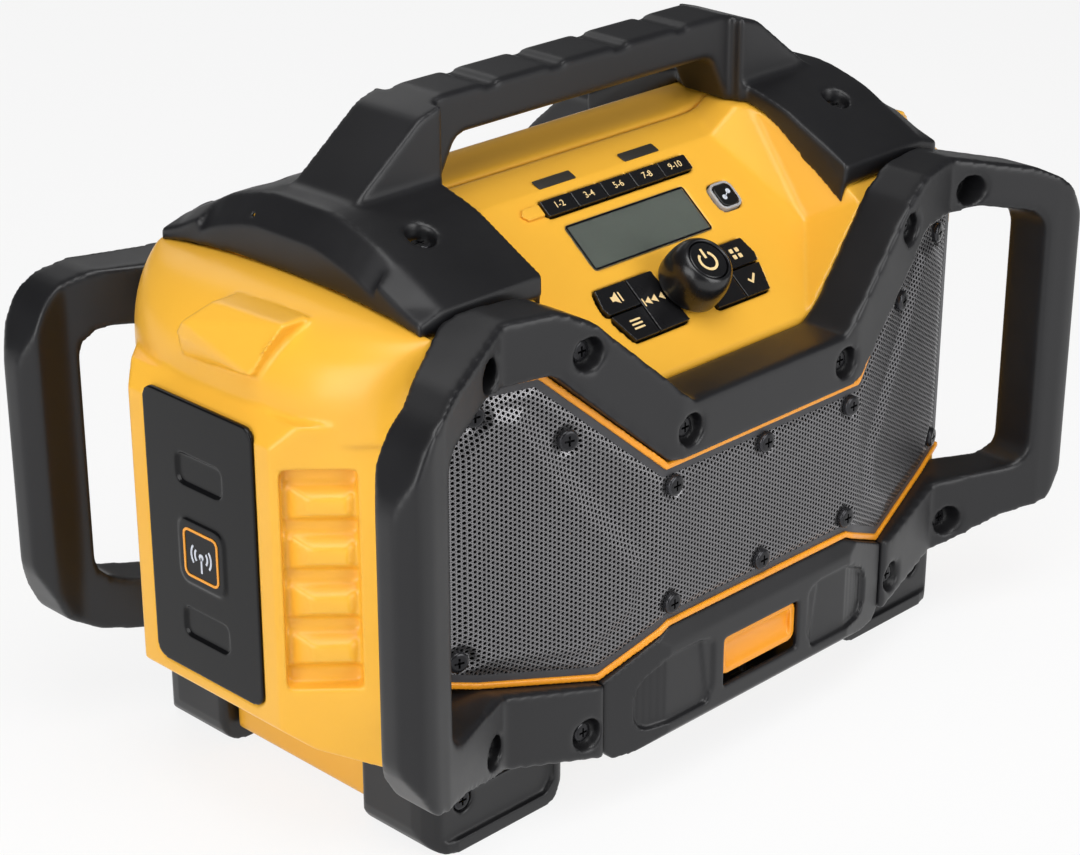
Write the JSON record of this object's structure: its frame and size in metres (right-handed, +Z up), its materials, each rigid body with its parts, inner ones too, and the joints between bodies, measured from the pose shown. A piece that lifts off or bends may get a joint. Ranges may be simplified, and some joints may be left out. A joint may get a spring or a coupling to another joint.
{
  "type": "jobsite radio",
  "caption": "Portable jobsite radio in a roll cage with grab loops, top handle, sloping console, perforated wrap-round grille and a front storage door.",
  "frame": {"origin": "on the ground under the middle of the body", "axes": "+X to the radio's right seen from the front, +Y to its back, +Z up"},
  "size_m": [0.442, 0.263, 0.3],
  "materials": {
    "yellow": "satin-gloss moulded",
    "black": "satin, soft edges",
    "gloss_black": "gloss",
    "keys": "satin-gloss",
    "grille": "perforated, satin",
    "orange": "satin",
    "lens": "clear window",
    "display": "liquid crystal",
    "clear": "clear plastic",
    "steel": "bright",
    "screws": "black oxide",
    "seal": "matt",
    "board": "coated board",
    "brass": "bright",
    "cone": "paper cone"
  },
  "bodies": {
    "body": {"front_housing": "yellow", "rear_housing": "yellow", "bottom_tub": "yellow", "left_pod": "yellow", "right_pod": "yellow", "left_side_panel": "gloss_black", "right_side_panel": "gloss_black", "front_frame": "black", "rear_frame": "black", "handle": "black", "foot_front_left": "black", "foot_front_right": "black", "foot_rear_left": "black", "foot_rear_right": "black", "grille": "grille", "grille_trim": "orange", "display_lens": "lens", "display_module": "display", "encoder": "steel", "pairing_ring": "clear", "door_hinge_pins": "steel", "door_bracket": "black", "storage_box": "black", "usb_socket": "steel", "aux_socket": "gloss_black", "battery_bay": "black", "battery_terminals": "brass", "main_board": "board", "key_board": "board", "power_supply": "board", "mains_inlet": "gloss_black", "woofer_left": "gloss_black", "woofer_right": "gloss_black", "cone_left": "cone", "cone_right": "cone", "antenna": "brass", "frame_screws": "screws", "grille_screws": "screws", "handle_screws": "screws", "foot_screws": "screws", "rear_screws": "screws", "door_seal": "seal"},
    "knob": {"tuning_knob": "keys"},
    "power_button": {"power_button": "keys"},
    "door": {"door": "black", "latch_spring": "steel"},
    "latch": {"door_latch": "orange"},
    "preset_key_1": {"preset_key_1": "keys"},
    "preset_key_2": {"preset_key_2": "keys"},
    "preset_key_3": {"preset_key_3": "keys"},
    "preset_key_4": {"preset_key_4": "keys"},
    "preset_key_5": {"preset_key_5": "keys"},
    "key_left_top": {"key_left_top": "keys"},
    "key_left_mid": {"key_left_mid": "keys"},
    "key_left_low": {"key_left_low": "keys"},
    "key_right_top": {"key_right_top": "keys"},
    "key_right_mid": {"key_right_mid": "keys"},
    "key_right_low": {"key_right_low": "keys"},
    "pairing_key": {"pairing_key": "keys"}
  },
  "joints": [
    {"name": "knob_turn", "type": "hinge", "parent": "body", "child": "knob", "pos_m": [0, -0.07143, 0.20609], "axis": [0, -0.6276, 0.7786], "continuous": true},
    {"name": "power_press", "type": "slide", "parent": "knob", "child": "power_button", "axis": [0, 0.6276, -0.7786], "range_m": [0, 0.001], "stiffness_N_per_m": 800},
    {"name": "door_swing", "type": "hinge", "parent": "body", "child": "door", "pos_m": [0, -0.107, 0.0245], "axis": [1, 0, 0], "range_deg": [0, 90]},
    {"name": "latch_slide", "type": "slide", "parent": "door", "child": "latch", "axis": [0, 0, -1], "range_m": [0, 0.004], "stiffness_N_per_m": 500, "springref_m": -0.002, "deforming": ["latch_spring"]},
    {"name": "preset_key_1_press", "type": "slide", "parent": "body", "child": "preset_key_1", "axis": [0, 0.6276, -0.7786], "range_m": [0, 0.0008], "stiffness_N_per_m": 700},
    {"name": "preset_key_2_press", "type": "slide", "parent": "body", "child": "preset_key_2", "axis": [0, 0.6276, -0.7786], "range_m": [0, 0.0008], "stiffness_N_per_m": 700},
    {"name": "preset_key_3_press", "type": "slide", "parent": "body", "child": "preset_key_3", "axis": [0, 0.6276, -0.7786], "range_m": [0, 0.0008], "stiffness_N_per_m": 700},
    {"name": "preset_key_4_press", "type": "slide", "parent": "body", "child": "preset_key_4", "axis": [0, 0.6276, -0.7786], "range_m": [0, 0.0008], "stiffness_N_per_m": 700},
    {"name": "preset_key_5_press", "type": "slide", "parent": "body", "child": "preset_key_5", "axis": [0, 0.6276, -0.7786], "range_m": [0, 0.0008], "stiffness_N_per_m": 700},
    {"name": "key_left_top_press", "type": "slide", "parent": "body", "child": "key_left_top", "axis": [0, 0.6276, -0.7786], "range_m": [0, 0.0008], "stiffness_N_per_m": 700},
    {"name": "key_left_mid_press", "type": "slide", "parent": "body", "child": "key_left_mid", "axis": [0, 0.6276, -0.7786], "range_m": [0, 0.0008], "stiffness_N_per_m": 700},
    {"name": "key_left_low_press", "type": "slide", "parent": "body", "child": "key_left_low", "axis": [0, 0.6276, -0.7786], "range_m": [0, 0.0008], "stiffness_N_per_m": 700},
    {"name": "key_right_top_press", "type": "slide", "parent": "body", "child": "key_right_top", "axis": [0, 0.6276, -0.7786], "range_m": [0, 0.0008], "stiffness_N_per_m": 700},
    {"name": "key_right_mid_press", "type": "slide", "parent": "body", "child": "key_right_mid", "axis": [0, 0.6276, -0.7786], "range_m": [0, 0.0008], "stiffness_N_per_m": 700},
    {"name": "key_right_low_press", "type": "slide", "parent": "body", "child": "key_right_low", "axis": [0, 0.6276, -0.7786], "range_m": [0, 0.0008], "stiffness_N_per_m": 700},
    {"name": "pairing_key_press", "type": "slide", "parent": "body", "child": "pairing_key", "axis": [0, 0.6276, -0.7786], "range_m": [0, 0.0008], "stiffness_N_per_m": 700}
  ]
}
